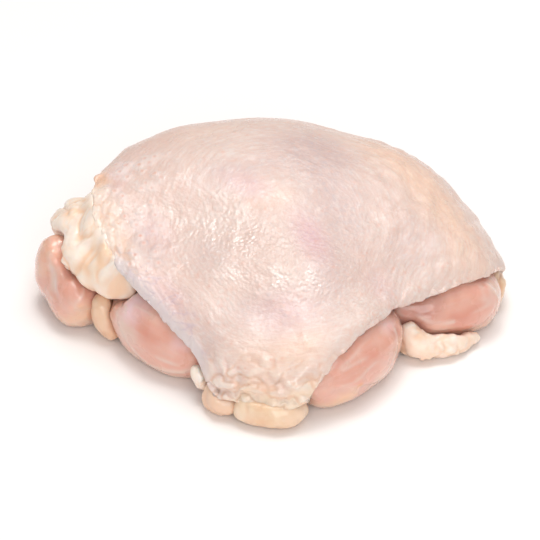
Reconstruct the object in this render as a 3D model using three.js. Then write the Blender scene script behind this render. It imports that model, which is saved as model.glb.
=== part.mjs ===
// A raw chicken thigh with its skin on, lying on the cut side: a sheet of skin draped over the
// thigh's muscles, with lumps of fat at its edges. Millimetres, +Z up, standing on Z = 0.
// +X is the thigh's long way, and -Y its front, where a tongue of skin hangs down to the table.

import * as THREE from "three";
import { ImprovedNoise } from "three/addons/math/ImprovedNoise.js";
import { mergeVertices } from "three/addons/utils/BufferGeometryUtils.js";

// Driving sizes.
const SKIN_THICKNESS = 1.9; // skin with the thin fat under it
const RIM_SHARE = 0.4; // the hem's thickness as a share of the skin's
const SKIN_LIFT = 0.7; // free space between the skin and what it lies on
const GAP = 0.6; // free space between two neighbouring pieces
const BLEND = 3.5; // how softly the lobes of one piece run together
const DRAPE = 11; // how widely the skin bridges the valleys between lobes
const FLOOR_ROUNDING = 2.5; // how the flesh rounds in where it rests on the table
const SKIN_CENTRE = new THREE.Vector3(2, 0, 4); // the skin is a dome as seen from here
const SKIN_SWING = THREE.MathUtils.degToRad(76); // how far down the skin's middle rings lean
const SKIN_SPREAD = new THREE.Vector3(1.9, 1.5, 1); // the dome's half sizes, for its height

// A lobe is an ellipsoid: its centre, its half sizes, its bearing about Z in degrees, and a
// power that is 2 for a true ellipsoid and more for a boxier one.
const lobe = (at, half, bearing = 0, power = 2) => ({ at, half, bearing, power });

const FLESH = { color: 0xe2a394, roughness: 0.42 };
const PALE_FAT = { color: 0xf6dcc4, roughness: 0.5 };
const YELLOW_FAT = { color: 0xf1cfa2, roughness: 0.5 };

// Each piece under the skin: its finish, its spine from end to end, its lobes, how fine its
// mesh is, and the height and width of the relief on it. What lies deep keeps more room, and
// swells out beyond its lobes to fill the space under the skin.
const PIECES = {
  muscle_bulk: {
    finish: FLESH,
    spine: [[-14, 14, 9], [24, 10, 9]],
    lobes: [
      lobe([-12.5, 22.5, 9], [31.5, 24.5, 26.6], 8, 2.5),
      lobe([14, 20, 9], [32, 25, 24.8], -12, 2.4),
      lobe([31, 14, 6], [25.5, 19.5, 18.4], -28, 2.3),
      lobe([0, -4, 7], [26, 27, 21.5]),
    ],
    blend: 12,
    detail: 7,
    relief: [0.4, 14],
    room: 1.1,
    swell: 4,
  },
  muscle_left: {
    finish: FLESH,
    spine: [[-51, 0, 9], [-38, 5, 10]],
    lobes: [
      lobe([-52.2, 4.5, 10.5], [10.4, 10, 12.5], 20),
      lobe([-49.5, -4.2, 7.6], [8.8, 8.4, 8.6]),
      lobe([-38, 5, 11], [15, 12, 12]),
    ],
    detail: 5,
    relief: [0.35, 9],
  },
  muscle_front_left: {
    finish: FLESH,
    spine: [[-31, -11, 8.5], [-20, -23, 8]],
    lobes: [
      lobe([-25, -17, 8.2], [22, 13.5, 12.2], -44),
      lobe([-16, -10, 10], [18, 14, 12], -30),
    ],
    detail: 5,
    relief: [0.35, 10],
  },
  muscle_front_right: {
    finish: FLESH,
    spine: [[14, -33, 8], [22, -22, 9]],
    lobes: [
      lobe([18.6, -29, 8], [20, 12.6, 12.4], 54),
      lobe([14, -16, 11], [16, 14, 13], 50),
    ],
    detail: 5,
    relief: [0.35, 10],
  },
  muscle_right: {
    finish: FLESH,
    spine: [[37, -5, 8], [51, 0, 8]],
    lobes: [
      lobe([42.2, -4.2, 6.4], [19, 14.8, 11.8], 22, 2.3),
      lobe([33, 0, 9], [18, 15, 13], 20),
    ],
    detail: 5,
    relief: [0.35, 10],
  },
  muscle_back_left: {
    finish: FLESH,
    spine: [[-43, 18, 12], [-38, 28, 13]],
    lobes: [lobe([-38.5, 22.5, 13], [15.5, 11, 13], 52)],
    detail: 4,
    relief: [0.35, 10],
  },
  fat_left: {
    finish: PALE_FAT,
    spine: [[-51.5, 11, 18.5], [-47, 2, 18], [-38, -8, 16]],
    lobes: [
      lobe([-51, 12.5, 17.6], [7.6, 7.6, 7], 50),
      lobe([-49.4, 7.4, 20.4], [7.4, 8.4, 6.4], 60),
      lobe([-47.8, -0.6, 18], [8, 7.4, 7.2], 40),
      lobe([-42.6, -6.4, 16.2], [7.4, 6.4, 7], 20),
      lobe([-35.8, -11, 15.8], [7.4, 6.4, 6], 0),
      lobe([-41, 7, 20], [9, 10, 5.4], 60),
    ],
    detail: 7,
    relief: [1.1, 4.5],
  },
  fat_sliver: {
    finish: YELLOW_FAT,
    spine: [[-44, -10, 4.5], [-44, -9, 9.5]],
    lobes: [lobe([-43.4, -10.6, 8.4], [4.2, 5.2, 6], 0), lobe([-41, -13, 4], [3.2, 4.4, 5], 20)],
    detail: 3,
    relief: [0.2, 6],
    small: true,
  },
  fat_front: {
    finish: YELLOW_FAT,
    spine: [[-4, -41, 5], [4, -44, 4.6]],
    lobes: [
      lobe([2.4, -45.8, 4.2], [7, 6.2, 4.4], -4),
      lobe([-4.6, -45, 3.6], [5.4, 4.8, 3.4], -14),
      lobe([-2.5, -34, 7], [12, 13, 9], 0),
    ],
    detail: 5,
    relief: [0.5, 6],
  },
  fat_fold: {
    finish: PALE_FAT,
    spine: [[-13, -40.5, 4], [-8.5, -43, 3.6]],
    lobes: [lobe([-10.4, -41.8, 4], [6.8, 5.2, 4.4], -28)],
    detail: 3,
    relief: [0.4, 5],
    small: true,
  },
  fat_tip: {
    finish: PALE_FAT,
    spine: [[-18.8, -37.2, 8.4], [-17, -38.1, 6.2], [-15.4, -38.9, 4.8]],
    lobes: [
      lobe([-19, -37.2, 8.6], [1.4, 1.8, 1.6], 20),
      lobe([-17.2, -38.1, 6.6], [1.6, 2, 2], -30),
      lobe([-15.6, -38.9, 4.8], [2.6, 2.4, 2.4], -30),
    ],
    detail: 3,
    relief: [0.2, 4],
    small: true,
  },
  fat_right_strip: {
    finish: PALE_FAT,
    spine: [[36.5, -19.8, 4.4], [44, -20, 2.8], [50.5, -16.8, 2.2]],
    lobes: [
      lobe([36.4, -18.8, 5.4], [5, 4.6, 5.8]),
      lobe([42.5, -19.6, 2.9], [8, 4.8, 3.6], 12),
      lobe([50, -16.6, 2], [6.6, 3, 2.3], 30),
    ],
    detail: 4,
    relief: [0.7, 4],
    small: true,
  },
  fat_right_edge: {
    finish: YELLOW_FAT,
    spine: [[60.2, 1.4, 5], [60, 6.6, 5.4]],
    lobes: [lobe([58.8, 3.4, 5.4], [3.6, 7, 6], 8)],
    detail: 3,
    relief: [0.15, 5],
    small: true,
  },
};

// How far down the dome the skin hangs: bearing round its centre, and swing from straight up
// to the hem as seen from there, in degrees.
const HEM = [
  [3, 84], [8, 88], [16, 91], [40, 92.5], [70, 92.5], [100, 92.5], [122, 92], [131, 88],
  [137, 74], [142, 65], [147, 64], [156, 64], [165, 63], [174, 62.5], [184, 63.5], [195, 65.5], [204, 67],
  [212, 68], [220, 70], [229, 73], [237, 76.5], [243, 80], [247, 85], [251, 87.5], [257, 86.5],
  [273, 86.5], [278, 85.2], [283, 79], [290, 73.8], [301, 70], [319, 70], [331, 73],
  [344, 74.8], [352, 77.5], [357, 80],
];

const SKIN = { finish: { color: 0xf0d9cf, roughness: 0.38 }, rings: 20 };

const noise = new ImprovedNoise();

// Perlin noise at a point, -1 to 1, with features of the given width.
function ripple(p, width, seed = 0) {
  return noise.noise(p.x / width + seed, p.y / width + 0.37 * seed, p.z / width - seed);
}

function smoothMin(a, b, width) {
  const share = Math.max(width - Math.abs(a - b), 0) / width;
  return Math.min(a, b) - share * share * width * 0.25;
}

const smoothMax = (a, b, width) => -smoothMin(-a, -b, width);

// About the distance from the point to the lobe's surface, less than zero inside it.
function lobeField({ at, half, bearing, power }) {
  const turn = THREE.MathUtils.degToRad(bearing);
  const cos = Math.cos(turn);
  const sin = Math.sin(turn);
  return (p) => {
    const dx = p.x - at[0];
    const dy = p.y - at[1];
    const turned = [dx * cos + dy * sin, dy * cos - dx * sin, p.z - at[2]];
    const q = turned.map((v, i) => v / half[i]);
    const near = q.reduce((sum, v) => sum + Math.abs(v) ** power, 0) ** (1 / power);
    if (near < 1e-6) return -Math.min(...half);
    const steep = Math.hypot(...q.map((v, i) => (Math.abs(v) / near) ** (power - 1) / half[i]));
    return (near - 1) / steep;
  };
}

function unionField(fields, width) {
  return (p) => fields.reduce((least, field) => smoothMin(least, field(p), width), Infinity);
}

const pieceFields = {};
for (const [name, { lobes, blend = BLEND }] of Object.entries(PIECES)) {
  pieceFields[name] = unionField(lobes.map(lobeField), blend);
}

// The fields of all pieces that the test picks.
const fieldsOf = (test) => Object.keys(PIECES).filter(test).map((name) => pieceFields[name]);

// What the skin lies on: the large pieces run together, and the small ones beside them.
const largeField = unionField(fieldsOf((name) => !PIECES[name].small), DRAPE);
const drapeField = unionField([largeField, ...fieldsOf((name) => PIECES[name].small)], 2);

// One piece under the skin: its own lobes, kept off its neighbours and rounded on to the table.
function pieceField(name) {
  const own = pieceFields[name];
  const others = fieldsOf((other) => other !== name);
  const { relief, room = 0, swell = 0 } = PIECES[name];
  const [height, width] = relief;
  return (p) => {
    const here = own(p);
    const full = swell ? smoothMax(largeField(p), here - swell, 1) : here;
    const surface = full + room + height * ripple(p, width, 3.1);
    const nearest = others.reduce((least, field) => Math.min(least, field(p)), Infinity);
    const parted = (here - nearest + GAP) / 2 + room;
    return smoothMax(smoothMax(surface, parted, 1.2), -p.z, FLOOR_ROUNDING);
  };
}

// Walks out from a point until the field turns positive, and returns where it does.
function walkOut(from, direction, field, reach = 90, step = 0.8) {
  const p = new THREE.Vector3();
  let inside = 0;
  let outside = step;
  while (outside < reach && field(p.copy(from).addScaledVector(direction, outside)) < 0) {
    inside = outside;
    outside += step;
  }
  for (let i = 0; i < 16; i++) {
    const middle = (inside + outside) / 2;
    if (field(p.copy(from).addScaledVector(direction, middle)) < 0) inside = middle;
    else outside = middle;
  }
  return p.copy(from).addScaledVector(direction, inside).clone();
}

// A round ball of triangles whose every corner walks out from the piece's spine to its surface.
function pieceGeometry(name) {
  const { spine, detail } = PIECES[name];
  const points = spine.map((point) => new THREE.Vector3(...point));
  const curve = new THREE.CatmullRomCurve3(points);
  const field = pieceField(name);
  const ball = new THREE.IcosahedronGeometry(1, detail);
  ball.deleteAttribute("normal");
  ball.deleteAttribute("uv");
  const geometry = mergeVertices(ball);
  const corners = geometry.getAttribute("position");
  const chord = points.at(-1).clone().sub(points[0]).normalize();
  const direction = new THREE.Vector3();
  for (let i = 0; i < corners.count; i++) {
    direction.fromBufferAttribute(corners, i);
    const along = THREE.MathUtils.clamp(0.5 + 0.5 * direction.dot(chord), 0, 1);
    corners.setXYZ(i, ...walkOut(curve.getPoint(along), direction, field));
  }
  return geometry;
}

// The hem's swing at a bearing, on a smooth closed curve through the knots.
function hemSwing(bearing) {
  const first = HEM[0][0];
  const b = THREE.MathUtils.euclideanModulo(bearing - first, 360) + first;
  const knots = [...HEM, [first + 360, HEM[0][1]]];
  const next = knots.findIndex(([angle]) => b < angle);
  const [a0, s0] = knots[next - 1];
  const [a1, s1] = knots[next];
  return THREE.MathUtils.degToRad(THREE.MathUtils.lerp(s0, s1, THREE.MathUtils.smoothstep(b, a0, a1)));
}

// The direction from the skin's centre at a bearing and a swing from straight up, in radians.
function rayAt(bearing, swing) {
  const level = Math.sin(swing);
  return new THREE.Vector3(level * Math.cos(bearing), level * Math.sin(bearing), Math.cos(swing));
}

// The skin's wrinkles: how far its outside stands over the smooth drape.
function wrinkle(p) {
  return 0.5 * ripple(p, 13, 1.7);
}

// A closed sheet: two six-sided pyramids base to base, bent over the dome. The upper one is the
// skin's outside, the lower one its inside, and the lowest ring of the lower one the rim's edge.
function skinGeometry() {
  const { rings } = SKIN;
  const sides = [0, 1, 2, 3, 4, 5];
  const base = sides.flatMap((k) => [Math.cos((k * Math.PI) / 3), Math.sin((k * Math.PI) / 3), 0]);
  const faces = sides.flatMap((k) => [6, k, (k + 1) % 6, 7, (k + 1) % 6, k]);
  const slab = new THREE.PolyhedronGeometry([...base, 0, 0, 1, 0, 0, -1], faces, 1, rings - 1);
  slab.deleteAttribute("normal");
  slab.deleteAttribute("uv");
  const geometry = mergeVertices(slab, 1e-5);
  const corners = geometry.getAttribute("position");
  const outside = (p) => Math.max(drapeField(p) - SKIN_LIFT - SKIN_THICKNESS - wrinkle(p), 0.2 - p.z);
  const inside = (p) => Math.max(drapeField(p) - SKIN_LIFT, 0.2 - p.z);
  for (let i = 0; i < corners.count; i++) {
    const [x, y, z] = [corners.getX(i), corners.getY(i), corners.getZ(i)];
    const angle = Math.atan2(y, x);
    // The point's ring, 0 at the tip and 1 at the base, from its size in six-sided terms.
    const size = Math.max(...sides.map((k) => Math.cos(angle - ((k + 0.5) * Math.PI) / 3)))
      * Math.hypot(x, y) / Math.cos(Math.PI / 6);
    const ring = size / (size + Math.abs(z));
    const under = z < -1e-6;
    const share = under ? Math.min(1, (ring * rings) / (rings - 1)) : ring;
    // The rings turn from round at the top to the hem's own line.
    const hem = THREE.MathUtils.lerp(SKIN_SWING, hemSwing(THREE.MathUtils.radToDeg(angle)), share ** 2);
    // Even steps over the flat dome: the swing on a round dome, flattened to the true one.
    const flat = Math.hypot(SKIN_SPREAD.x * Math.cos(angle), SKIN_SPREAD.y * Math.sin(angle));
    const round = share * Math.atan2(Math.sin(hem) / flat, Math.cos(hem));
    const ray = rayAt(angle, Math.atan2(flat * Math.sin(round), Math.cos(round)));
    const inn = walkOut(SKIN_CENTRE, ray, inside);
    // The sheet thins towards its hem.
    const full = 1 - (1 - RIM_SHARE) * THREE.MathUtils.smoothstep(share, 0.88, 1);
    const p = under ? inn : inn.lerp(walkOut(SKIN_CENTRE, ray, outside), full);
    corners.setXYZ(i, p.x, p.y, p.z);
  }
  return geometry;
}

const thigh = new THREE.Group();

function addPiece(name, geometry, { color, roughness }) {
  const mesh = new THREE.Mesh(geometry, new THREE.MeshStandardMaterial({ color, roughness, metalness: 0 }));
  mesh.name = name;
  thigh.add(mesh);
}

for (const name of Object.keys(PIECES)) addPiece(name, pieceGeometry(name), PIECES[name].finish);
addPiece("skin", skinGeometry(), SKIN.finish);

// The origin is under the middle of the whole thigh, on the table.
const box = new THREE.Box3().setFromObject(thigh);
const middle = box.getCenter(new THREE.Vector3());
for (const mesh of thigh.children) mesh.geometry.translate(-middle.x, -middle.y, -box.min.z);

export default thigh;
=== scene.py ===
"""A raw chicken thigh with its skin on, lying cut side down on a plain white floor.

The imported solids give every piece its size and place. Here each of them is copied, made fine
and given its own surface: the skin its folds, crinkles, pores and hem, the muscles their fibres
and thin membranes, and the fat its lobules. Lengths in this script are millimetres, and are
turned to metres only where they are written to a mesh.
"""

import math
import random

import bmesh
import bpy
import numpy as np
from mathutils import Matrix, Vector, kdtree, noise


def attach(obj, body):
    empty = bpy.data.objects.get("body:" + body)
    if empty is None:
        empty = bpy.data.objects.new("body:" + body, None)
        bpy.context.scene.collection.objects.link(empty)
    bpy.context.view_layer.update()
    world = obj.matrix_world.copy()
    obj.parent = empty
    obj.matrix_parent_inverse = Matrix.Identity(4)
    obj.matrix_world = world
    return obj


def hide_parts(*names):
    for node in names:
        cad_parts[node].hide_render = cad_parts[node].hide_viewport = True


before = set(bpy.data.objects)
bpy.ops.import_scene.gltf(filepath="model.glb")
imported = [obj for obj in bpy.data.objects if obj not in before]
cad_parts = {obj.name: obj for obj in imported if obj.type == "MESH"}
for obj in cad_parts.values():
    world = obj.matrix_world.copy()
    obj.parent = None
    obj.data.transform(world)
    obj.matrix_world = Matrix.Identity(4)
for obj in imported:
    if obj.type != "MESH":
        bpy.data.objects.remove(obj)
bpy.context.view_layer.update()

MM = 0.001  # a millimetre in metres

# ---------------------------------------------------------------------------------------
# The picture: a 540 x 540 frame, looked at from the front and above
# ---------------------------------------------------------------------------------------

CAMERA_TARGET = (-0.4, 18.0, 0.0)  # the point on the floor that the camera looks at
CAMERA_DISTANCE = 700.0
CAMERA_ELEVATION = 36.0  # degrees above the floor
PIXELS_PER_MM = 3.67  # at the target
IMAGE_SIDE = 540
SENSOR = 36.0

# ---------------------------------------------------------------------------------------
# Driving sizes of the surfaces
# ---------------------------------------------------------------------------------------

SKIN_SMOOTHING = (3, 4, 4)  # rounds of smoothing after each time the skin's faces are split in four
INSIDE_FACING = -0.3  # a skin face that looks this much towards the middle is on the sheet's inside
UNDER_SKIN = (0.0, 0.0, 4.0)  # a point under the dome, which its inside faces
ARC_CENTRE = (5.0, -14.0)  # the skin's streaks run in arcs round this point
ARC_RADIUS = 30.0  # where a streak is as long as it says
FOLLICLE_SPACING = 3.7
FOLLICLE_ROWS = 13
FOLLICLES_IN_ROW = 12
FOLLICLE_CORNER = (-49.0, -18.0)  # where the first row of follicles starts
SPARSE_PORES = 330
SPARSE_FROM = -26.0  # left of this the skin has its goose pimples instead of sparse pores
HEM_BAND = 3.4  # width of the pale membrane along the hem
RIM_WIDTH = 0.05  # a point this near to the rim's inner edge is on it
ONTO_ROLL = (0.0, 0.9, -0.8)  # how the tongue's end is pressed on to the roll of fat under it
RIM_SINK = 0.9  # how far the skin's rim sinks into the lumps of fat beside it
MUSCLE_SMOOTHING = 11.0  # rounds of smoothing times the mesh's face size in millimetres
FAT_SMOOTHING = 14  # rounds of smoothing
TIP_SLIM = 0.45  # how far the small white tip's surface is drawn in from the other fats' level
LAP_REACH = 3.0  # how far from the skin's rim the fat still laps up to it
MOST_LIFT = 4.0  # the furthest that the fat is raised to reach the rim
LAMP_SHARE = 0.85  # what a tone is multiplied by, because the lamps are brighter than plain white


def srgb(red, green, blue):
    """A colour as it shows on a screen, 0 to 255, turned into the light that a shader needs.

    The palest tones go a little over 255, and the lamps' share brings them back under white.
    """
    def linear(value):
        share = value / 255
        return share / 12.92 if share <= 0.04045 else ((share + 0.055) / 1.055) ** 2.4

    return (*(LAMP_SHARE * linear(value) for value in (red, green, blue)), 1.0)


# ---------------------------------------------------------------------------------------
# Points and patterns
# ---------------------------------------------------------------------------------------


def read_points(mesh):
    points = np.empty(len(mesh.vertices) * 3)
    mesh.vertices.foreach_get("co", points)
    return points.reshape(-1, 3) / MM


def write_points(mesh, points):
    mesh.vertices.foreach_set("co", (points * MM).ravel())
    mesh.update()


def read_normals(mesh):
    normals = np.empty(len(mesh.vertices) * 3)
    mesh.vertices.foreach_get("normal", normals)
    return normals.reshape(-1, 3)


def write_mask(mesh, name, values):
    """Keeps one number for each point, which a material can read."""
    mesh.attributes.new(name, "FLOAT", "POINT").data.foreach_set("value", values.astype(np.float32))


def smoothstep(values, start, end):
    share = np.clip((values - start) / (end - start), 0.0, 1.0)
    return share * share * (3.0 - 2.0 * share)


def ripple(points, width, seed):
    """Soft noise, about -1 to 1, whose waves are as wide as it says: one width, or three."""
    grid = (points / np.asarray(width, float) + seed * 7.31).tolist()
    return np.array([noise.noise(place) for place in grid]) * 2.0


def ridges(points, width, seed):
    """Thin winding lines, 1 on the line and 0 a third of a wave away from it."""
    return np.clip(1.0 - 3.0 * np.abs(ripple(points, width, seed)), 0.0, 1.0)


def cells(points, width, seed):
    """Uneven cells of the given width: 0 on the lines between them, about 1 in their middles."""
    grid = (points / np.asarray(width, float) + seed * 5.17).tolist()
    distances = np.array([noise.voronoi(place)[0][:2] for place in grid])
    return np.clip((distances[:, 1] - distances[:, 0]) * 1.8, 0.0, 1.0)


def bend(points, width, seeds, reach):
    """Moves each place a little, in waves of the given width, so that a pattern laid there winds."""
    return points + np.stack([ripple(points, width, seed) for seed in seeds], axis=1) * reach


def lumps(points, width):
    """Soft lumps of fat with creases between them: how high they stand, and where a crease runs, to be
    painted darker as its shade.
    """
    bent = bend(points, width, (31, 32, 33), 0.35 * width)
    large = cells(bent, (0.9 * width, 1.3 * width, 1.3 * width), 34)
    small = cells(bent, 0.5 * width, 35)
    deep = smoothstep(ripple(points, 1.2 * width, 42), -0.5, 0.3)
    some = smoothstep(ripple(points, 1.4 * width, 38), 0.0, 0.5)
    height = deep * (smoothstep(large, 0.0, 0.9) - 0.7)
    height += 0.3 * some * (smoothstep(small, 0.0, 0.9) - 0.6)
    height += 0.5 * ripple(points, 0.8 * width, 37)
    crease = deep * smoothstep(large, 0.35, 0.0) + 0.5 * some * smoothstep(small, 0.3, 0.0)
    return height, np.clip(crease, 0.0, 1.0)


def write_places(mesh, name, places):
    """Keeps a place for each point, in which a material can lay a pattern."""
    attribute = mesh.attributes.new(name, "FLOAT_VECTOR", "POINT")
    attribute.data.foreach_set("vector", places.astype(np.float32).ravel())


def bell(distances, width):
    """1 at no distance, and falling away softly over the given width."""
    return np.exp(-((distances / width) ** 2))


def patch(points, x, y, across, along=None, bearing=0.0):
    """A soft round or long patch seen from above: 1 in its middle, 0 past its edge."""
    turn = math.radians(bearing)
    dx = points[:, 0] - x
    dy = points[:, 1] - y
    u = (dx * math.cos(turn) + dy * math.sin(turn)) / (along or across)
    v = (dy * math.cos(turn) - dx * math.sin(turn)) / across
    return smoothstep(np.hypot(u, v), 1.0, 0.0)


def patches(points, spots):
    return np.clip(sum(strength * patch(points, *place) for strength, *place in spots), 0.0, 1.0)


def spot(points, middle, reach):
    """A soft ball of the given reach in millimetres: 1 in its middle, 0 past its edge."""
    return smoothstep(np.linalg.norm((points - middle) / reach, axis=1), 1.0, 0.0)


def near_line(points, line, reach):
    """1 on a line through the given places, 0 at its reach in millimetres."""
    closest = np.full(len(points), 1e9)
    for start, end in zip(line, line[1:]):
        start, span = np.array(start, float), np.subtract(end, start, dtype=float)
        share = np.clip((points - start) @ span / (span @ span), 0.0, 1.0)
        closest = np.minimum(closest, np.linalg.norm(points - start - share[:, None] * span, axis=1))
    return smoothstep(closest, reach, 0.0)


# ---------------------------------------------------------------------------------------
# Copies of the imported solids
# ---------------------------------------------------------------------------------------


def copy_of(node):
    """A new object with a copy of the node's mesh, its loose triangles merged."""
    mesh = bpy.data.meshes.new(node + "_fine")
    shape = bmesh.new()
    shape.from_mesh(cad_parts[node].data)
    bmesh.ops.remove_doubles(shape, verts=shape.verts, dist=1e-6)
    shape.to_mesh(mesh)
    shape.free()
    piece = bpy.data.objects.new(node + "_fine", mesh)
    bpy.context.scene.collection.objects.link(piece)
    return piece


def apply_modifiers(piece):
    bpy.context.view_layer.update()
    finished = piece.evaluated_get(bpy.context.evaluated_depsgraph_get())
    mesh = bpy.data.meshes.new_from_object(finished)
    piece.modifiers.clear()
    old = piece.data
    piece.data = mesh
    bpy.data.meshes.remove(old)
    mesh.name = piece.name


def even_mesh(piece, voxel, smoothing):
    """Gives the piece small even faces and rounds off the solid's facets."""
    remesh = piece.modifiers.new("Even mesh", "REMESH")
    remesh.mode = "VOXEL"
    remesh.voxel_size = voxel * MM
    soften = piece.modifiers.new("Soften", "SMOOTH")
    soften.factor = 0.5
    soften.iterations = smoothing
    apply_modifiers(piece)


def finish_piece(piece, node, material):
    piece.data.materials.clear()
    piece.data.materials.append(material)
    piece.data.polygons.foreach_set("material_index", [0] * len(piece.data.polygons))
    piece.data.polygons.foreach_set("use_smooth", [True] * len(piece.data.polygons))
    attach(piece, "root")
    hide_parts(node)


# ---------------------------------------------------------------------------------------
# Shader building
# ---------------------------------------------------------------------------------------


def put(tree, kind, inputs=None, **settings):
    """Adds a node, sets its options, and gives its inputs values or links."""
    node = tree.nodes.new(kind)
    for name, value in settings.items():
        setattr(node, name, value)
    for key, value in (inputs or {}).items():
        if isinstance(value, bpy.types.NodeSocket):
            tree.links.new(value, node.inputs[key])
        else:
            node.inputs[key].default_value = value
    return node


def calc(tree, operation, first, second):
    return put(tree, "ShaderNodeMath", {0: first, 1: second}, operation=operation).outputs[0]


def blend(tree, share, first, second):
    """Goes from the first colour to the second by the share. Sockets 6 and 7 are its colours."""
    return put(tree, "ShaderNodeMix", {0: share, 6: first, 7: second}, data_type="RGBA").outputs[2]


def ranged(tree, value, from_low, from_high, low=0.0, high=1.0):
    inputs = {"Value": value, "From Min": from_low, "From Max": from_high,
              "To Min": low, "To Max": high}
    return put(tree, "ShaderNodeMapRange", inputs).outputs[0]


def mask_of(tree, name):
    return put(tree, "ShaderNodeAttribute", attribute_name=name).outputs["Fac"]


def lay_tone(tree, colour, mask, strength, tone):
    """Lays a tone over a colour where the mask is, at most as strongly as it says."""
    return blend(tree, calc(tree, "MULTIPLY", mask_of(tree, mask), strength), colour, tone)


def group(name, inputs, outputs, fill):
    """A shader group: inputs and outputs are (name, kind, default), and fill builds its inside."""
    tree = bpy.data.node_groups.new(name, "ShaderNodeTree")
    kinds = {"value": "NodeSocketFloat", "colour": "NodeSocketColor", "vector": "NodeSocketVector"}
    for label, kind, default in inputs:
        socket = tree.interface.new_socket(label, in_out="INPUT", socket_type=kinds[kind])
        if default is not None:
            socket.default_value = default
    for label, kind in outputs:
        tree.interface.new_socket(label, in_out="OUTPUT", socket_type=kinds[kind])
    inside = tree.nodes.new("NodeGroupInput")
    results = fill(tree, inside.outputs)
    put(tree, "NodeGroupOutput", results)
    return tree


def place_group(tree, used, **inputs):
    node = tree.nodes.new("ShaderNodeGroup")
    node.node_tree = used
    for name, value in inputs.items():
        key = name.replace("_", " ")
        if isinstance(value, bpy.types.NodeSocket):
            tree.links.new(value, node.inputs[key])
        else:
            node.inputs[key].default_value = value
    return node.outputs


def fill_mottle(tree, given):
    """Three tones of one flesh, in soft clouds with small flecks."""
    clouds = put(tree, "ShaderNodeTexNoise", {"Vector": given["Place"], "Scale": given["Scale"],
                                              "Detail": 3.0, "Roughness": 0.55})
    finer = calc(tree, "MULTIPLY", given["Scale"], 4.3)
    flecks = put(tree, "ShaderNodeTexNoise", {"Vector": given["Place"], "Scale": finer,
                                              "Detail": 4.0, "Roughness": 0.7})
    pale = ranged(tree, clouds.outputs[0], 0.45, 0.68)
    deep = ranged(tree, clouds.outputs[0], 0.5, 0.3)
    tone = blend(tree, pale, given["Base"], given["Pale"])
    tone = blend(tree, deep, tone, given["Deep"])
    speck = ranged(tree, flecks.outputs[0], 0.5, 0.75, 0.0, 0.55)
    tone = blend(tree, speck, tone, given["Pale"])
    return {"Colour": tone}


def fill_wet(tree, given):
    """How rough a wet surface is: smooth where the film of water lies, dull between."""
    film = put(tree, "ShaderNodeTexNoise", {"Vector": given["Place"], "Scale": given["Scale"],
                                            "Detail": 3.0})
    wetness = ranged(tree, film.outputs[0], 0.62, 0.38)
    roughness = ranged(tree, wetness, 0.0, 1.0, given["Dull"], given["Smooth"])
    return {"Roughness": roughness, "Film": wetness}


def fill_grainy(tree, given):
    """A fine uneven surface: small pits between tiny lumps."""
    pits = put(tree, "ShaderNodeTexVoronoi", {"Vector": given["Place"], "Scale": given["Scale"]},
               feature="SMOOTH_F1")
    finer = calc(tree, "MULTIPLY", given["Scale"], 1.7)
    grain = put(tree, "ShaderNodeTexNoise", {"Vector": given["Place"], "Scale": finer, "Detail": 4.0})
    bead = calc(tree, "MULTIPLY", pits.outputs["Distance"], -0.6)
    return {"Height": calc(tree, "ADD", bead, grain.outputs[0])}


MOTTLE = group(
    "Mottled flesh",
    [("Place", "vector", None), ("Scale", "value", 60.0), ("Base", "colour", None),
     ("Pale", "colour", None), ("Deep", "colour", None)],
    [("Colour", "colour")],
    fill_mottle,
)
WET = group(
    "Wet film",
    [("Place", "vector", None), ("Scale", "value", 90.0), ("Smooth", "value", 0.3),
     ("Dull", "value", 0.5)],
    [("Roughness", "value"), ("Film", "value")],
    fill_wet,
)
GRAINY = group(
    "Fine grain",
    [("Place", "vector", None), ("Scale", "value", 900.0)],
    [("Height", "value")],
    fill_grainy,
)


def flesh_material(name):
    """An empty material with its Principled shader, wet and a little translucent."""
    material = bpy.data.materials.new(name)
    material.use_nodes = True
    tree = material.node_tree
    shader = next(node for node in tree.nodes if node.type == "BSDF_PRINCIPLED")
    shader.subsurface_method = "RANDOM_WALK"
    shader.inputs["IOR"].default_value = 1.45
    shader.inputs["Coat IOR"].default_value = 1.45
    place = put(tree, "ShaderNodeTexCoord").outputs["Object"]
    return material, tree, shader, place


def set_surface(shader, weight, radius, coat, coat_roughness):
    """How far light sinks in, in millimetres for red, green and blue, and the wet coat."""
    shader.inputs["Subsurface Weight"].default_value = weight
    shader.inputs["Subsurface Radius"].default_value = [depth / max(radius) for depth in radius]
    shader.inputs["Subsurface Scale"].default_value = max(radius) * MM
    shader.inputs["Coat Weight"].default_value = coat
    shader.inputs["Coat Roughness"].default_value = coat_roughness


# ---------------------------------------------------------------------------------------
# Skin
# ---------------------------------------------------------------------------------------

# Soft patches of tint on the skin, seen from above: strength, x, y, across, along, bearing.
FATTY_PATCHES = (
    (0.8, 33, 22, 12, 28, -40), (0.7, 43, 10, 13, 22, -55), (0.6, 50, -2, 13, 18, -60),
    (0.6, 0, 2, 5, 10, 10), (0.7, 0, -46, 13, 20), (0.5, 8, -40, 8, 10),
    (1.0, -45, 16, 4, 9, 60), (0.3, -20, 30, 8, 22, 8),
)
# Lavender-grey where the skin is thin over the flesh, and painted shade on the front, the valley and
# the lower left, all in one greyish tone.
LAVENDER_AND_SHADE_PATCHES = (
    (1.0, 16, 2, 15, 30, -80), (1.0, 9, 20, 16, 20, 0), (0.5, -21, -29, 8, 18, -55),
    (0.8, -10, 11, 8, 17, 10), (0.8, 14, -22, 10, 16, -80), (0.6, 36, -7, 9, 16, 50),
    (0.6, -4, -30, 8, 14, 0), (0.9, -31, -10, 7, 15, -60), (0.3, -15, -36, 5, 8, -70),
    (0.5, -17, -13, 8, 13, -60),
)
PINK_PATCHES = (
    (0.8, -42, 13, 6, 14, 70), (1.0, 10, -10, 7, 14, -70), (0.6, -6, 6, 6, 13, -30),
    (0.7, -27, -24, 6, 13, -50), (0.6, 4, -32, 10, 14), (0.4, 28, -20, 8), (0.5, -30, -4, 7, 12, -60),
)
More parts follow.
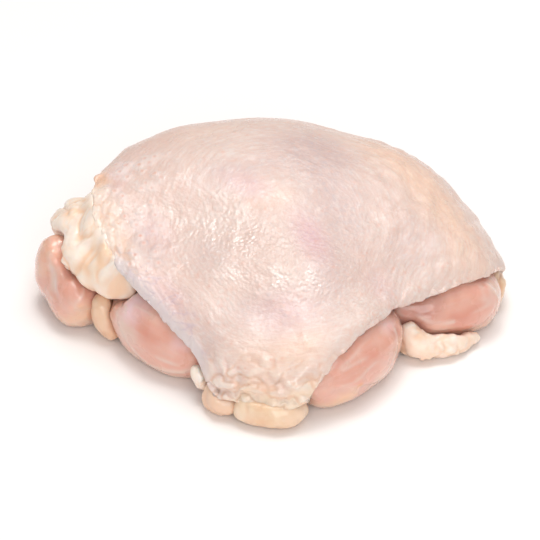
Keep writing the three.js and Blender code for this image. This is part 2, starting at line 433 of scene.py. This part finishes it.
PALE_PATCHES = (
    (1.0, -38, 18, 7, 12, 60), (0.6, -22, 8, 8, 14, -30), (0.7, 40, -6, 6, 14, 40),
    (0.9, -13, -44, 6, 8),
)


def smooth_points(shape, points, rounds):
    for _ in range(rounds):
        bmesh.ops.smooth_vert(shape, verts=points, factor=0.5, use_axis_x=True, use_axis_y=True,
                              use_axis_z=True)


def fine_skin():
    """The skin's sheet with its outside in small smooth faces; its hidden inside stays coarse.

    Returns the piece and, for each point, how far it is from the rim and whether it is inside.
    """
    piece = copy_of("skin")
    shape = bmesh.new()
    shape.from_mesh(piece.data)
    middle = Vector(UNDER_SKIN) * MM
    for face in shape.faces:
        outward = (face.calc_center_median() - middle).normalized()
        face.material_index = 1 if face.normal.dot(outward) < INSIDE_FACING else 0
    for rounds in SKIN_SMOOTHING:
        edges = {edge for face in shape.faces if face.material_index == 0 for edge in face.edges}
        bmesh.ops.subdivide_edges(shape, edges=list(edges), cuts=1, use_grid_fill=True)
        outside = [point for point in shape.verts
                   if all(face.material_index == 0 for face in point.link_faces)]
        smooth_points(shape, outside, rounds)
    bmesh.ops.recalc_face_normals(shape, faces=shape.faces)
    rim = [point for point in shape.verts
           if len({face.material_index for face in point.link_faces}) == 2]
    tree = kdtree.KDTree(len(rim))
    for index, point in enumerate(rim):
        tree.insert(point.co, index)
    tree.balance()
    to_rim = np.array([tree.find(point.co)[2] for point in shape.verts]) / MM
    hidden = np.array([all(face.material_index == 1 for face in point.link_faces)
                       for point in shape.verts])
    shape.to_mesh(piece.data)
    shape.free()
    return piece, to_rim, hidden


def arc_place(points):
    """Where a point lies along and across the skin's arcs, joined up all the way round."""
    warp = np.stack([1.6 * ripple(points, 19.0, seed) + 0.5 * ripple(points, 5.0, seed + 50)
                     for seed in (1, 2)], axis=1)
    dx = points[:, 0] - ARC_CENTRE[0] + warp[:, 0]
    dy = points[:, 1] - ARC_CENTRE[1] + warp[:, 1]
    out = np.hypot(dx, dy) + 0.7 * (points[:, 2].max() - points[:, 2])
    turn = np.arctan2(dy, dx)
    return np.stack([out, np.cos(turn) * ARC_RADIUS, np.sin(turn) * ARC_RADIUS], axis=1)


def follicles(points):
    """Goose pimples on the skin's left end: the height of their mounds, and their pores."""
    draw = random.Random(5)
    height = np.zeros(len(points))
    pore = np.zeros(len(points))
    left, front = FOLLICLE_CORNER
    for row in range(FOLLICLE_ROWS):
        for column in range(FOLLICLES_IN_ROW):
            x = left + FOLLICLE_SPACING * (column + 0.5 * (row % 2)) + draw.uniform(-1.1, 1.1)
            y = front + FOLLICLE_SPACING * 0.87 * row + draw.uniform(-1.1, 1.1)
            strength = draw.uniform(0.3, 1.0) * float(smoothstep(np.array(x), -16, -34))
            wide = draw.uniform(0.9, 1.6)
            reach = np.hypot(points[:, 0] - x, points[:, 1] - y)
            height += strength * (0.62 * bell(reach, wide) - 0.35 * bell(reach, 0.4))
            pore = np.maximum(pore, strength * bell(reach, draw.uniform(0.35, 0.6)))
    return height, pore


def sparse_pores(points, outside):
    """Single small pores, further apart on the rest of the skin, and the low mounds they sit in."""
    draw = random.Random(11)
    places = np.flatnonzero(outside)
    pore = np.zeros(len(points))
    mound = np.zeros(len(points))
    for _ in range(SPARSE_PORES):
        middle = points[places[draw.randrange(len(places))]]
        strength = draw.uniform(0.2, 0.7) * (1.0 if middle[0] > SPARSE_FROM else 0.0)
        reach = np.linalg.norm(points - middle, axis=1)
        pore = np.maximum(pore, strength * bell(reach, draw.uniform(0.25, 0.5)))
        mound = np.maximum(mound, strength * bell(reach, draw.uniform(0.8, 1.4)))
    return pore, mound


def skin_piece():
    """Dresses the skin, and returns the points of its rim, which the fat beside it laps over."""
    piece, to_rim, hidden = fine_skin()
    mesh = piece.data
    points = read_points(mesh)
    normals = read_normals(mesh)
    arcs = arc_place(points)
    at_hem = smoothstep(to_rim, 5.5, 1.0)
    on_tongue = smoothstep(points[:, 1], -36, -44) * smoothstep(points[:, 2], 20, 12)
    at_left = smoothstep(points[:, 0], -14, -34)
    at_right = smoothstep(points[:, 0], 14, 34)
    at_back = smoothstep(normals[:, 1], 0.55, 0.8)
    band = patch(points, -3, -14, 15, 32, -41)
    at_membrane = smoothstep(patch(points, -29, -27, 11, 28, -55), 0.05, 0.4)
    over_fat = smoothstep(patch(points, -41, -1, 10, 25, -69), 0.0, 0.4)
    over_roll = smoothstep(patch(points, 0, -51, 8, 18), 0.0, 0.4)
    lump, lump_crease_shade = lumps(points, 7.0)

    uneven = smoothstep(ripple(points, 16.0, 14), -0.5, 0.6)
    folds = ripple(arcs, (4.2, 10.0, 10.0), 3) * (0.4 + 0.6 * uneven)
    streaks = ripple(arcs, (1.1, 5.0, 5.0), 4)
    dashes = ridges(arcs, (1.3, 4.0, 4.0), 5)
    crinkle = cells(arcs, (1.3, 2.0, 2.0), 6)
    small_crinkle = cells(points, 1.1, 7)
    bent = bend(points, 5.0, (16, 17, 18), 1.0)
    furrows = ridges(bent, (5.5, 2.8, 2.8), 9)
    crumple = ripple(bent, (4.2, 2.6, 2.6), 8) - 0.8 * furrows
    mound, pore = follicles(points)
    sparse_pore, sparse_mound = sparse_pores(points, ~hidden)

    relief = (
        0.08 * folds
        + 0.03 * streaks
        + (0.03 + 0.05 * at_right) * dashes
        + (0.04 + 0.18 * band + 0.12 * at_back * uneven) * (crinkle - 0.6)
        + (0.04 + 0.07 * at_left + 0.05 * band) * (small_crinkle - 0.6)
        + on_tongue * (0.55 * crumple + 0.12 * ripple(points, 1.4, 20))
        + at_left * mound
        + 0.2 * sparse_mound
        + 0.25 * at_right * ripple(points, 3.6, 43)
        + 0.6 * over_fat * smoothstep(to_rim, 9.0, 2.0) * lump
        + 0.3 * at_membrane * smoothstep(to_rim, 4.8, 2.6)
    )
    relief *= smoothstep(to_rim, 0.0, 1.4)
    relief -= RIM_SINK * over_fat * smoothstep(to_rim, 5.0, 1.0)
    relief[hidden] = 0.0

    # The hem runs out and in by a little, as cut skin does.
    level = normals[:, 2:3]
    downhill = np.array([0.0, 0.0, -1.0]) + level * normals
    downhill /= np.maximum(np.linalg.norm(downhill, axis=1, keepdims=True), 1e-6)
    ragged = at_hem * (0.9 * ripple(points, 4.5, 12) + 0.5 * ripple(points, 1.8, 13))
    ragged *= smoothstep(points[:, 2], 1.5, 5.0) * (1.0 - over_fat)
    moved = points + normals * relief[:, None] + downhill * ragged[:, None]
    # The tongue's end is pressed on to the roll of fat and a little into it, inside and outside.
    moved += (over_roll * smoothstep(to_rim, 5.0, 0.8))[:, None] * np.array(ONTO_ROLL)
    moved[:, 2] = np.maximum(moved[:, 2], 0.05)
    write_points(mesh, moved)

    write_mask(mesh, "fatty", patches(points, FATTY_PATCHES))
    write_mask(mesh, "cool", patches(points, LAVENDER_AND_SHADE_PATCHES))
    write_mask(mesh, "pink", patches(points, PINK_PATCHES))
    blotchy = to_rim + 1.5 * ripple(points, 4.0, 15)
    write_mask(mesh, "pale", patches(points, PALE_PATCHES))
    fat_side = smoothstep(points[:, 1], -15, -8)
    write_mask(mesh, "cream", over_fat * fat_side * smoothstep(blotchy, 8.0, 1.0))
    write_mask(mesh, "roll", over_roll * smoothstep(blotchy, 6.0, 0.5))
    # The tongue's furrows and the lump creases beside the fat are painted darker orange, as their
    # shade; the spot at the left end is the flesh's own colour, seen at the skin's edge.
    tongue_fold_shade = on_tongue * furrows
    fat_fold = over_fat * smoothstep(to_rim, 9.0, 2.0) * lump_crease_shade
    flesh_edge = spot(points, (-46.0, 15.0, 31.0), (3.5, 6.0, 5.0))
    write_mask(mesh, "fold", np.clip(tongue_fold_shade + fat_fold + 1.3 * flesh_edge, 0, 1))
    # The crests of the tongue's crumples get a pale painted highlight.
    write_mask(mesh, "crest", on_tongue * smoothstep(crumple, 0.1, 0.7))
    write_mask(mesh, "membrane", smoothstep(to_rim, HEM_BAND + 1.5, HEM_BAND - 1.5) * at_membrane)
    # The skin's crinkle creases are painted darker and peachier, as their shade.
    write_mask(mesh, "crease", np.clip(1 - crinkle + 0.5 * (1 - small_crinkle), 0, 2))
    write_mask(mesh, "streak", np.clip(dashes + 0.3 * streaks, 0, 1))
    write_places(mesh, "arcs", arcs)
    wettest = np.maximum(smoothstep(band, 0.0, 0.5), 0.8 * np.maximum(on_tongue, at_back))
    write_mask(mesh, "wet", 0.15 + 0.85 * wettest)
    write_mask(mesh, "pore", np.maximum(pore * at_left, sparse_pore * 0.7))
    write_mask(mesh, "mound", at_left * smoothstep(mound, 0.05, 0.3))
    write_mask(mesh, "between", at_left * smoothstep(mound, 0.12, 0.0) * smoothstep(to_rim, 2.0, 5.0))
    in_band = smoothstep(to_rim, 1.2, 3.0) * smoothstep(to_rim, 9.0, 5.0) * at_membrane
    write_mask(mesh, "vein", in_band * ridges(bent, (5.0, 2.5, 3.0), 19) ** 2)
    finish_piece(piece, "skin", skin_material())
    return points[to_rim < RIM_WIDTH]


def skin_material():
    material, tree, shader, place = flesh_material("Raw skin")
    tone = place_group(tree, MOTTLE, Place=place, Scale=48.0, Base=srgb(240, 222, 213),
                       Pale=srgb(246, 232, 224), Deep=srgb(236, 214, 205))
    colour = tone["Colour"]
    colour = blend(tree, mask_of(tree, "fatty"), colour, srgb(260, 227, 202))
    # The lavender-grey tone, which is also painted shade on the front and lower left of the skin.
    colour = lay_tone(tree, colour, "cool", 1.0, srgb(213, 195, 194))
    colour = lay_tone(tree, colour, "pink", 1.0, srgb(231, 193, 203))
    colour = lay_tone(tree, colour, "pale", 0.7, srgb(262, 246, 240))
    # Painted shade in the crinkle creases.
    colour = lay_tone(tree, colour, "crease", 0.36, srgb(238, 199, 184))
    streak = ranged(tree, mask_of(tree, "streak"), 0.2, 0.9, 0.0, 0.22)
    colour = blend(tree, streak, colour, srgb(252, 237, 228))
    arcs = put(tree, "ShaderNodeAttribute", attribute_name="arcs").outputs["Vector"]
    stretched = put(tree, "ShaderNodeMapping", {"Vector": arcs, "Scale": (1.7, 0.42, 0.42)}).outputs[0]
    lines = put(tree, "ShaderNodeTexNoise", {"Vector": stretched, "Scale": 1.0, "Detail": 4.0})
    pale_line = ranged(tree, lines.outputs[0], 0.52, 0.7, 0.0, 0.36)
    colour = blend(tree, pale_line, colour, srgb(250, 236, 229))
    peach_line = ranged(tree, lines.outputs[0], 0.46, 0.32, 0.0, 0.32)
    colour = blend(tree, peach_line, colour, srgb(240, 202, 186))
    colour = lay_tone(tree, colour, "mound", 0.4, srgb(254, 238, 232))
    colour = lay_tone(tree, colour, "between", 0.35, srgb(243, 206, 192))
    colour = lay_tone(tree, colour, "pore", 0.8, srgb(240, 168, 142))
    colour = lay_tone(tree, colour, "cream", 0.9, srgb(262, 241, 224))
    colour = lay_tone(tree, colour, "roll", 0.9, srgb(262, 234, 206))
    # Painted shade in the tongue's furrows and by the fat, and the flesh's own colour at the left end.
    colour = lay_tone(tree, colour, "fold", 0.7, srgb(248, 199, 165))
    # Painted highlight on the tongue's crests.
    colour = lay_tone(tree, colour, "crest", 0.6, srgb(255, 240, 226))
    colour = lay_tone(tree, colour, "membrane", 0.8, srgb(242, 230, 230))
    colour = lay_tone(tree, colour, "vein", 0.5, srgb(210, 190, 204))
    tree.links.new(colour, shader.inputs["Base Color"])
    wet = place_group(tree, WET, Place=place, Scale=140.0, Smooth=0.22, Dull=0.46)
    tree.links.new(wet["Roughness"], shader.inputs["Roughness"])
    grain = place_group(tree, GRAINY, Place=place, Scale=1300.0)
    uneven = calc(tree, "ADD", grain["Height"], lines.outputs[0])
    bump = put(tree, "ShaderNodeBump", {"Height": uneven, "Strength": 0.4, "Distance": 0.12 * MM})
    tree.links.new(bump.outputs[0], shader.inputs["Normal"])
    # The film of water is more uneven than the skin under it, which breaks its shine into sparks.
    beads = put(tree, "ShaderNodeTexNoise", {"Vector": place, "Scale": 750.0, "Detail": 2.0})
    film_bump = put(tree, "ShaderNodeBump", {"Height": beads.outputs[0], "Strength": 0.8,
                                             "Distance": 0.4 * MM})
    tree.links.new(film_bump.outputs[0], shader.inputs["Coat Normal"])
    set_surface(shader, 0.25, (1.1, 0.8, 0.6), 0.6, 0.06)
    film = ranged(tree, wet["Film"], 0.0, 1.0, 0.3, 1.0)
    tree.links.new(calc(tree, "MULTIPLY", film, mask_of(tree, "wet")), shader.inputs["Coat Weight"])
    return material


# ---------------------------------------------------------------------------------------
# Muscles
# ---------------------------------------------------------------------------------------

# Each muscle: the bearing of its fibres in degrees, and how fine its mesh is.
MUSCLES = {
    "muscle_left": (100.0, 0.5),
    "muscle_front_left": (-44.0, 0.5),
    "muscle_front_right": (54.0, 0.5),
    "muscle_right": (24.0, 0.5),
    "muscle_back_left": (52.0, 0.6),
    "muscle_bulk": (5.0, 1.2),
}


def fibre_place(points, bearing):
    """Turns a place so that its first coordinate runs along the fibres."""
    turn = math.radians(bearing)
    x, y, z = points.T
    return np.stack([x * math.cos(turn) + y * math.sin(turn),
                     y * math.cos(turn) - x * math.sin(turn), z], axis=1)


# Spots of tone on the muscles: the tone, its strength, its middle and its reach.
MUSCLE_SPOTS = {
    "muscle_left": (
        ("deep", 0.5, (-52, -3, 16), (5, 7, 6)), ("pale", 0.9, (-57, -5, 12.5), (3, 4, 7)),
        ("peach", 1.0, (-48, -12, 6), (7, 6, 7)), ("peach", 0.8, (-54, -11, 3), (8, 5, 4)),
        ("peach", 0.8, (-58, 4, 16), (7, 10, 9)),
    ),
    "muscle_front_left": (
        ("lilac", 1.3, (-36, -19, 16), (8, 8, 7)), ("deep", 0.6, (-31, -28, 12), (7, 6, 5)),
        ("pale", 1.0, (-38, -21, 9), (6, 9, 8)), ("pale", 0.9, (-24, -33.5, 6.5), (8, 4, 1.8)),
        ("peach", 0.7, (-27, -31, 1.5), (10, 8, 3)), ("lilac", 0.6, (-24, -33, 14), (5, 5, 4)),
    ),
    "muscle_front_right": (
        ("lilac", 0.5, (29, -28, 16), (5, 5, 5)), ("peach", 1.3, (16.5, -44.5, 3), (10, 6, 5)),
        ("orange", 1.3, (21.6, -42.3, 5.6), (2.2, 2.2, 1.6)), ("pale", 0.6, (28, -37, 4), (5, 5, 3.5)),
        ("deep", 0.8, (23, -36, 13), (6, 6, 5)), ("mauve", 0.9, (31, -27, 12), (4, 5, 5)),
    ),
    "muscle_right": (
        ("mauve", 1.0, (39, -17, 12), (8, 7, 7)), ("deep", 0.9, (49, -14, 9), (8, 6, 5)),
        ("pale", 0.9, (57.6, -8, 11), (1.2, 6, 6)), ("peach", 0.6, (55, -11, 3), (8, 8, 3)),
    ),
    "muscle_back_left": (("peach", 0.8, (-44, 18, 28), (9, 9, 9)),),
}
# The lilac tone is the muscle's own lilac made paler, as painted light on the front-left muscle, which
# lies in shade.
MUSCLE_TONES = {
    "lilac": srgb(262, 225, 226), "mauve": srgb(215, 154, 140), "deep": srgb(234, 160, 140),
    "pale": srgb(246, 217, 202), "peach": srgb(256, 210, 178), "orange": srgb(246, 168, 112),
}

# Lines on the muscles: how far they stand out in millimetres, their reach, and their places.
MUSCLE_LINES = {
    "muscle_left": (
        (-0.7, 2.2, ((-58, -3, 15), (-56.5, -7, 10.5), (-53, -10.5, 7.5), (-47, -12, 8))),
        (0.2, 1.6, ((-58, 0, 18), (-57.5, -4, 13.5), (-55.5, -8, 9.5))),
    ),
    "muscle_front_left": (
        (0.18, 1.3, ((-39.6, -17.5, 13.1), (-36.5, -24, 6.6), (-31.3, -27.8, 3.5), (-23, -33.6, 5))),
        (0.12, 0.9, ((-37.5, -19, 15), (-34, -25, 9.4), (-28.5, -30.5, 7.8), (-22, -35, 7.2))),
    ),
    "muscle_front_right": (
        (-0.5, 2.0, ((16, -46, 8.5), (20, -43, 7.5), (24, -40.5, 5.5), (27, -37, 3))),
        (0.15, 1.0, ((31, -27, 14), (31.5, -30, 9), (29, -35, 5.5))),
    ),
    "muscle_right": (
        (0.35, 1.1, ((56.3, -7.4, 14.2), (58.6, -8.2, 9.8), (59, -9, 5.5))),
        (0.15, 1.0, ((37, -18.5, 12), (42, -17.5, 9.5), (47, -17, 9))),
    ),
}


def muscle_piece(node, bearing, voxel):
    piece = copy_of(node)
    even_mesh(piece, voxel, round(MUSCLE_SMOOTHING / voxel))
    mesh = piece.data
    points = read_points(mesh)
    normals = read_normals(mesh)
    along = fibre_place(points, bearing)
    bundles = ripple(along, (26.0, 4.5, 4.5), 21)
    fibres = ripple(along, (9.0, 0.9, 0.9), 22)
    film = ridges(along, (30.0, 4.5, 4.5), 25) * smoothstep(ripple(points, 9.0, 26), -0.2, 0.4)
    relief = 0.22 + 0.16 * bundles + 0.04 * fibres + 0.35 * ripple(points, 8.0, 23) + 0.12 * film
    for height, reach, line in MUSCLE_LINES.get(node, ()):
        on_line = near_line(points, line, reach)
        relief += height * on_line
        film = np.maximum(film, on_line * (1.4 if height > 0 else 0.5))
    moved = points + normals * relief[:, None]
    moved[:, 2] = np.maximum(moved[:, 2], 0.0)
    write_points(mesh, moved)
    write_mask(mesh, "film", film)
    write_mask(mesh, "fibre", np.clip(0.5 + 0.6 * fibres, 0, 1))
    write_mask(mesh, "low", smoothstep(points[:, 2] + 1.5 * ripple(points, 7.0, 30), 6.5, 0.5))
    soft = bend(points, 6.0, (27, 28, 29), 1.5)
    for tone in MUSCLE_TONES:
        spots = [spot(soft, middle, reach) * strength
                 for name, strength, middle, reach in MUSCLE_SPOTS.get(node, ()) if name == tone]
        write_mask(mesh, tone, np.clip(sum(spots, np.zeros(len(points))), 0, 1))
    finish_piece(piece, node, muscle_material())


def muscle_material():
    if "Raw flesh" in bpy.data.materials:
        return bpy.data.materials["Raw flesh"]
    material, tree, shader, place = flesh_material("Raw flesh")
    tone = place_group(tree, MOTTLE, Place=place, Scale=70.0, Base=srgb(246, 188, 169),
                       Pale=srgb(250, 202, 184), Deep=srgb(242, 178, 158))
    colour = tone["Colour"]
    for name, tint in MUSCLE_TONES.items():
        colour = blend(tree, mask_of(tree, name), colour, tint)
    fibre = ranged(tree, mask_of(tree, "fibre"), 0.5, 1.0, 0.0, 0.15)
    colour = blend(tree, fibre, colour, srgb(244, 206, 194))
    colour = lay_tone(tree, colour, "film", 0.55, srgb(246, 218, 206))
    colour = lay_tone(tree, colour, "low", 0.7, srgb(247, 211, 188))
    tree.links.new(colour, shader.inputs["Base Color"])
    wet = place_group(tree, WET, Place=place, Scale=110.0, Smooth=0.2, Dull=0.36)
    tree.links.new(wet["Roughness"], shader.inputs["Roughness"])
    grain = place_group(tree, GRAINY, Place=place, Scale=700.0)
    bump = put(tree, "ShaderNodeBump", {"Height": grain["Height"], "Strength": 0.2,
                                        "Distance": 0.12 * MM})
    tree.links.new(bump.outputs[0], shader.inputs["Normal"])
    beads = put(tree, "ShaderNodeTexNoise", {"Vector": place, "Scale": 420.0, "Detail": 2.0})
    film_bump = put(tree, "ShaderNodeBump", {"Height": beads.outputs[0], "Strength": 0.5,
                                             "Distance": 0.3 * MM})
    tree.links.new(film_bump.outputs[0], shader.inputs["Coat Normal"])
    set_surface(shader, 0.45, (3.2, 1.7, 1.1), 0.8, 0.06)
    return material


# ---------------------------------------------------------------------------------------
# Fat
# ---------------------------------------------------------------------------------------

# Each lump of fat: its slot, how fine its mesh is, its folds' width and height, how far it
# swells up over the skin's rim, and how peach it is.
FAT = {
    "fat_left": ("cream_fat", 0.42, 7.0, 0.85, 1.9, 0.1),
    "fat_sliver": ("yellow_fat", 0.45, 6.0, 0.25, 0.0, 0.5),
    "fat_front": ("yellow_fat", 0.4, 9.0, 0.3, 1.2, 0.0),
    "fat_fold": ("cream_fat", 0.4, 4.5, 0.45, 0.9, 0.7),
    "fat_tip": ("cream_fat", 0.3, 3.0, 0.35, 0.0, 0.0),
    "fat_right_strip": ("cream_fat", 0.4, 4.5, 0.5, 0.0, 0.2),
    "fat_right_edge": ("yellow_fat", 0.4, 4.5, 0.5, 0.0, 0.3),
}


def nearest_of(points, others):
    """For each place seen from above, how far the nearest of the others lies, and which it is."""
    tree = kdtree.KDTree(len(others))
    for index, (x, y) in enumerate(others):
        tree.insert((x, y, 0.0), index)
    tree.balance()
    found = [tree.find((x, y, 0.0)) for x, y in points]
    return np.array([hit[2] for hit in found]), np.array([hit[1] for hit in found])


def fat_piece(node, rim, slot, voxel, width, height, lap, peach):
    piece = copy_of(node)
    even_mesh(piece, voxel, FAT_SMOOTHING)
    mesh = piece.data
    points = read_points(mesh)
    normals = read_normals(mesh)
    lump, crease = lumps(points, width)
    relief = 0.25 + height * lump + 0.12 * ripple(points, 2.2, 36) + 0.04 * ripple(points, 0.9, 39)
    if node == "fat_tip":
        relief -= TIP_SLIM
    distances, nearest = nearest_of(points[:, :2], rim[:, :2])
    close = bell(distances, LAP_REACH)
    lift = np.zeros(len(points))
    if node == "fat_left":
        # The lump beside the skin rises to its rim, and meets it in a thin seam.
        target = rim[nearest, 2] + lap * (1.0 + 0.35 * ripple(points, 5.0, 41))
        flat = smoothstep(normals[:, 2], -0.1, 0.5)
        lift = np.clip(target - points[:, 2], 0.0, MOST_LIFT) * close * flat
    elif lap:
        # The lumps under the skin swell just below its rim.
        below = smoothstep(points[:, 2] - rim[nearest, 2], 1.2, -0.8)
        relief = relief * (0.3 + 0.7 * below) + lap * below * close
    moved = points + normals * relief[:, None]
    moved[:, 2] = np.maximum(moved[:, 2] + lift, 0.0)
    write_points(mesh, moved)
    # The creases between the lumps, where shade is painted.
    write_mask(mesh, "crease", crease * min(1.0, 1.2 * height))
    # Peach is the piece's own tone, with painted shade added on faces that look down and in the low
    # places between lumps.
    shaded = 0.2 * smoothstep(normals[:, 2], 0.4, -0.4) + 0.15 * smoothstep(lump, 0.0, -0.7)
    write_mask(mesh, "peach", np.clip(peach + shaded, 0, 1))
    finish_piece(piece, node, fat_material(slot))


# Each kind of fat: its material's name, and its plain, pale, deep and crease tones; the crease tone is
# painted shade.
FAT_TONES = {
    "cream_fat": ("Cream fat", srgb(270, 250, 232), srgb(272, 260, 250),
        srgb(268, 240, 216), srgb(264, 220, 182)),
    "yellow_fat": ("Yellow fat", srgb(258, 228, 196), srgb(264, 240, 215),
        srgb(254, 214, 176), srgb(248, 190, 146)),
}


def fat_material(slot):
    name, base, pale, deep, crease = FAT_TONES[slot]
    if name in bpy.data.materials:
        return bpy.data.materials[name]
    material, tree, shader, place = flesh_material(name)
    tone = place_group(tree, MOTTLE, Place=place, Scale=110.0, Base=base, Pale=pale, Deep=deep)
    # The peach mask carries the fat's own peach tone and painted shade.
    colour = blend(tree, mask_of(tree, "peach"), tone["Colour"], srgb(252, 206, 172))
    # Painted shade in the creases between the lumps.
    colour = lay_tone(tree, colour, "crease", 0.8, crease)
    tree.links.new(colour, shader.inputs["Base Color"])
    wet = place_group(tree, WET, Place=place, Scale=160.0, Smooth=0.28, Dull=0.5)
    tree.links.new(wet["Roughness"], shader.inputs["Roughness"])
    grain = place_group(tree, GRAINY, Place=place, Scale=900.0)
    bump = put(tree, "ShaderNodeBump", {"Height": grain["Height"], "Strength": 0.25,
                                        "Distance": 0.15 * MM})
    tree.links.new(bump.outputs[0], shader.inputs["Normal"])
    set_surface(shader, 0.25, (2.2, 1.6, 1.1), 0.5, 0.1)
    return material


# ---------------------------------------------------------------------------------------
# Floor, light and camera
# ---------------------------------------------------------------------------------------


def make_floor():
    mesh = bpy.data.meshes.new("floor")
    shape = bmesh.new()
    bmesh.ops.create_grid(shape, x_segments=1, y_segments=1, size=3.0)
    shape.to_mesh(mesh)
    shape.free()
    floor = bpy.data.objects.new("floor", mesh)
    bpy.context.scene.collection.objects.link(floor)
    material = bpy.data.materials.new("Plain white floor")
    material.use_nodes = True
    shader = next(node for node in material.node_tree.nodes if node.type == "BSDF_PRINCIPLED")
    shader.inputs["Base Color"].default_value = (0.99, 0.97, 0.96, 1.0)
    shader.inputs["Roughness"].default_value = 0.9
    mesh.materials.append(material)


def make_light(name, place, size, power, tint=(1.0, 1.0, 1.0)):
    """A soft square lamp at a place in millimetres, turned to the thigh's middle."""
    light = bpy.data.lights.new(name, "AREA")
    light.size = size * MM
    light.energy = power
    light.color = tint
    lamp = bpy.data.objects.new(name, light)
    lamp.location = Vector(place) * MM
    towards = Vector((0.0, 0.0, 15.0 * MM)) - lamp.location
    lamp.rotation_euler = towards.to_track_quat("-Z", "Y").to_euler()
    bpy.context.scene.collection.objects.link(lamp)


def make_lights():
    world = bpy.data.worlds.new("White room")
    world.use_nodes = True
    sky = world.node_tree.nodes["Background"]
    sky.inputs["Color"].default_value = (1.0, 0.955, 0.935, 1.0)
    sky.inputs["Strength"].default_value = 0.345
    bpy.context.scene.world = world
    make_light("Overhead softbox", (70, 150, 700), 600, 2.85, (1.0, 0.99, 0.98))
    make_light("Small lamp", (-30, 110, 700), 190, 0.85, (1.0, 0.985, 0.96))
    make_light("Front reflector", (60, -620, 420), 520, 2.3)


def make_camera():
    camera = bpy.data.cameras.new("Camera")
    camera.sensor_width = SENSOR
    camera.lens = SENSOR * PIXELS_PER_MM * CAMERA_DISTANCE / IMAGE_SIDE
    eye = bpy.data.objects.new("Camera", camera)
    angle = math.radians(CAMERA_ELEVATION)
    target = Vector(CAMERA_TARGET)
    back = Vector((0.0, -math.cos(angle), math.sin(angle)))
    eye.location = (target + back * CAMERA_DISTANCE) * MM
    eye.rotation_euler = (-back).to_track_quat("-Z", "Y").to_euler()
    bpy.context.scene.collection.objects.link(eye)
    bpy.context.scene.camera = eye


make_camera()
make_floor()
make_lights()
for node, (bearing, voxel) in MUSCLES.items():
    muscle_piece(node, bearing, voxel)
skin_rim = skin_piece()
for node, values in FAT.items():
    fat_piece(node, skin_rim, *values)

bpy.context.scene.view_settings.view_transform = "Standard"
bpy.context.scene.view_settings.look = "None"
